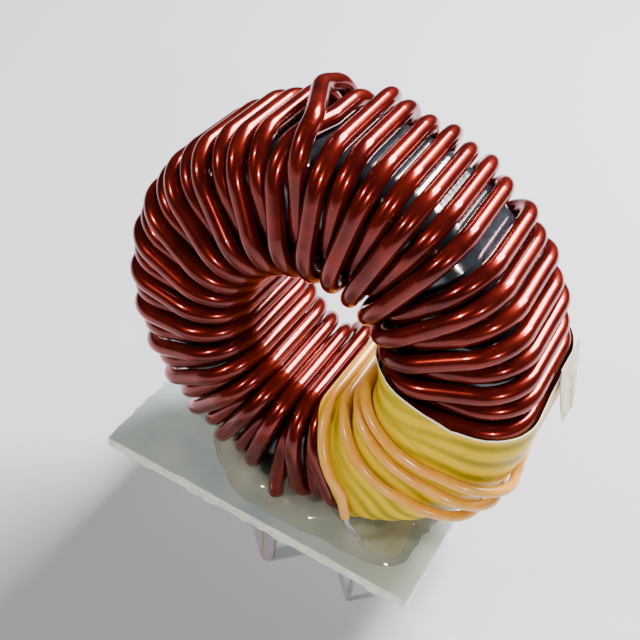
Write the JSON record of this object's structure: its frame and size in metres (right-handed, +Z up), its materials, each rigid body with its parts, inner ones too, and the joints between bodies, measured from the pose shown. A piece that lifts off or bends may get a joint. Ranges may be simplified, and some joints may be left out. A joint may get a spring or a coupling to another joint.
{
  "type": "toroidal inductor",
  "caption": "Ring core wound with thick enamelled copper wire, taped in part under a thin second winding, glued on edge to a small board with leads below.",
  "frame": {"origin": "on the floor that the lead ends stand on, below the middle of the whole part's box", "axes": "+Z up from the lead ends to the ring's top, +Y along the ring's axis away from its front face, +X along the board's length to the taped side"},
  "size_m": [0.0538, 0.0288, 0.0653],
  "materials": {
    "core_coating": "satin",
    "enamelled_copper": "gloss",
    "yellow_tape": "gloss",
    "pale_tape": "matte",
    "peach_insulation": "satin",
    "tinned_copper": "satin",
    "laminate": "gloss",
    "clear_glue": "gloss"
  },
  "bodies": {
    "root": {"core": "core_coating", "main_winding": "enamelled_copper", "tape_wrap": "yellow_tape", "tape_tail": "pale_tape", "aux_insulation": "peach_insulation", "aux_conductor": "tinned_copper", "base_board": "laminate", "adhesive_bead": "clear_glue"}
  },
  "joints": []
}
